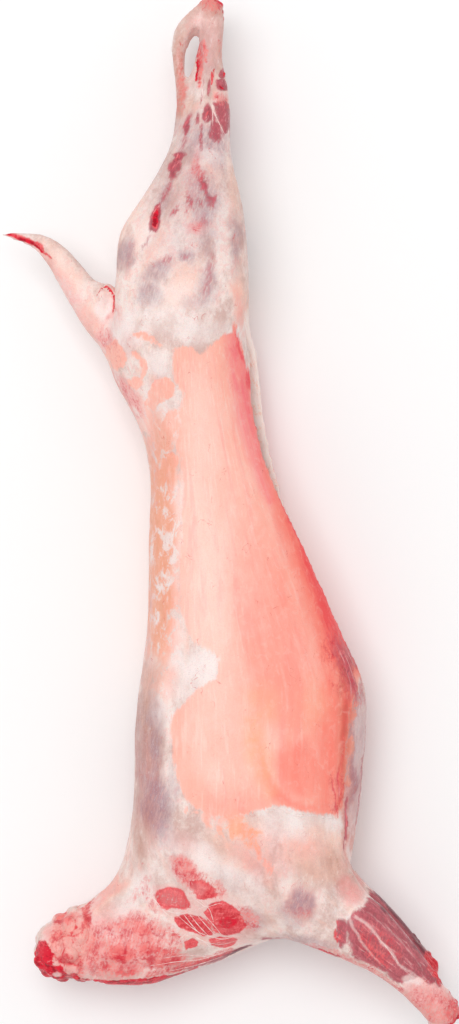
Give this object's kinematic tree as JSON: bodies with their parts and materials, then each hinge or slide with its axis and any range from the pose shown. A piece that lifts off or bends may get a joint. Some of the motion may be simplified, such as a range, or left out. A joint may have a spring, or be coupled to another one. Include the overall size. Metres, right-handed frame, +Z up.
{
  "type": "whole lamb carcass",
  "caption": "Whole dressed lamb without skin, head or feet, open along the belly, with slots at the heels to hang it by.",
  "frame": {"origin": "middle of the bounding box in X and Y, on the surface that the carcass lies on", "axes": "+Y runs from the neck to the hocks, +X from the back to the belly, and +Z up from the right side, on which it lies, to the left side"},
  "size_m": [0.5386, 1.2062, 0.2049],
  "materials": {
    "meat": "moist raw meat under white fat and thin pink membrane, satin"
  },
  "bodies": {
    "root": {"carcass": "meat"}
  },
  "joints": []
}
